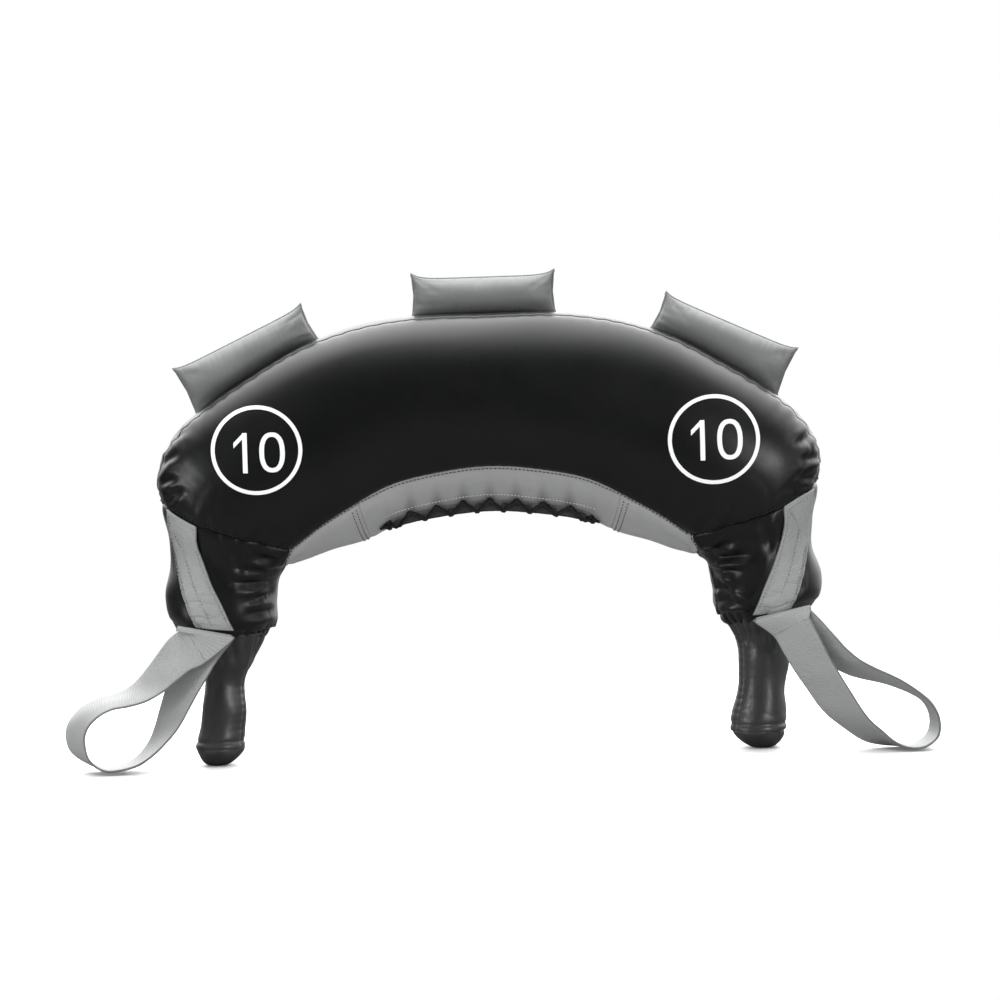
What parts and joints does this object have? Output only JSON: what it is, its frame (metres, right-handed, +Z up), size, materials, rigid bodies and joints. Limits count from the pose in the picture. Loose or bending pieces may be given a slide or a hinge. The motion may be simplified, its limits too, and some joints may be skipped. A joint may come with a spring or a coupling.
{
  "type": "sandbag trainer",
  "caption": "Crescent sandbag trainer standing on its grips, with a gathered cuff, grip and webbing loop at each end and stuffed pads along the outer edge.",
  "frame": {"origin": "bottom centre of the bounding box, on the floor under the middle of the crescent", "axes": "+X to the right along the crescent, +Y from the printed front towards the back, +Z up from the grips to the crown"},
  "size_m": [0.7861, 0.1642, 0.436],
  "materials": {
    "black_vinyl": "satin",
    "grey_vinyl": "satin",
    "inner_vinyl": "matte",
    "webbing": "matte",
    "cord": "matte",
    "sack_cloth": "matte",
    "stuffing": "matte"
  },
  "bodies": {
    "shell": {"front_panel": "black_vinyl", "back_panel": "black_vinyl", "outer_gusset": "black_vinyl", "inner_panel_left": "inner_vinyl", "inner_panel_right": "inner_vinyl", "closure_lip_front": "inner_vinyl", "closure_lip_back": "inner_vinyl", "closure_tongue": "black_vinyl", "closure_lace": "cord", "lace_knot_left": "cord", "lace_knot_right": "cord", "left_cuff": "black_vinyl", "right_cuff": "black_vinyl", "left_side_strap": "webbing", "right_side_strap": "webbing", "fill_middle": "sack_cloth", "left_shoulder_fill": "sack_cloth", "right_shoulder_fill": "sack_cloth", "left_cuff_fill": "sack_cloth", "right_cuff_fill": "sack_cloth"},
    "left_grip": {"left_grip_cover": "black_vinyl", "left_grip_core": "stuffing", "left_grip_end": "black_vinyl"},
    "right_grip": {"right_grip_cover": "black_vinyl", "right_grip_core": "stuffing", "right_grip_end": "black_vinyl"},
    "left_loop": {"left_loop": "webbing"},
    "right_loop": {"right_loop": "webbing"},
    "left_pad": {"left_pad_cover": "grey_vinyl", "left_pad_foam": "stuffing"},
    "top_pad": {"top_pad_cover": "grey_vinyl", "top_pad_foam": "stuffing"},
    "right_pad": {"right_pad_cover": "grey_vinyl", "right_pad_foam": "stuffing"}
  },
  "joints": [
    {"name": "left_grip_bend", "type": "hinge", "parent": "shell", "child": "left_grip", "pos_m": [-0.239, 0, 0.108], "axis": [0, 1, 0], "range_deg": [-20, 20], "stiffness_Nm_per_rad": 50},
    {"name": "right_grip_bend", "type": "hinge", "parent": "shell", "child": "right_grip", "pos_m": [0.239, 0, 0.108], "axis": [0, 1, 0], "range_deg": [-20, 20], "stiffness_Nm_per_rad": 50},
    {"name": "left_loop_swing", "type": "hinge", "parent": "shell", "child": "left_loop", "pos_m": [-0.2559, -0.04922, 0.12237], "axis": [-0.9799, 0, 0.1995], "range_deg": [-20, 100]},
    {"name": "right_loop_swing", "type": "hinge", "parent": "shell", "child": "right_loop", "pos_m": [0.2559, -0.04922, 0.12237], "axis": [-0.9799, 0, -0.1995], "range_deg": [-20, 100]},
    {"name": "left_pad_fold", "type": "hinge", "parent": "shell", "child": "left_pad", "pos_m": [-0.20993, 0, 0.35757], "axis": [0.8658, 0, 0.5004], "range_deg": [-25, 25], "stiffness_Nm_per_rad": 0.3},
    {"name": "top_pad_fold", "type": "hinge", "parent": "shell", "child": "top_pad", "pos_m": [0, 0, 0.40576], "axis": [1, 0, 0], "range_deg": [-25, 25], "stiffness_Nm_per_rad": 0.3},
    {"name": "right_pad_fold", "type": "hinge", "parent": "shell", "child": "right_pad", "pos_m": [0.20993, 0, 0.35757], "axis": [0.8658, 0, -0.5004], "range_deg": [-25, 25], "stiffness_Nm_per_rad": 0.3}
  ]
}
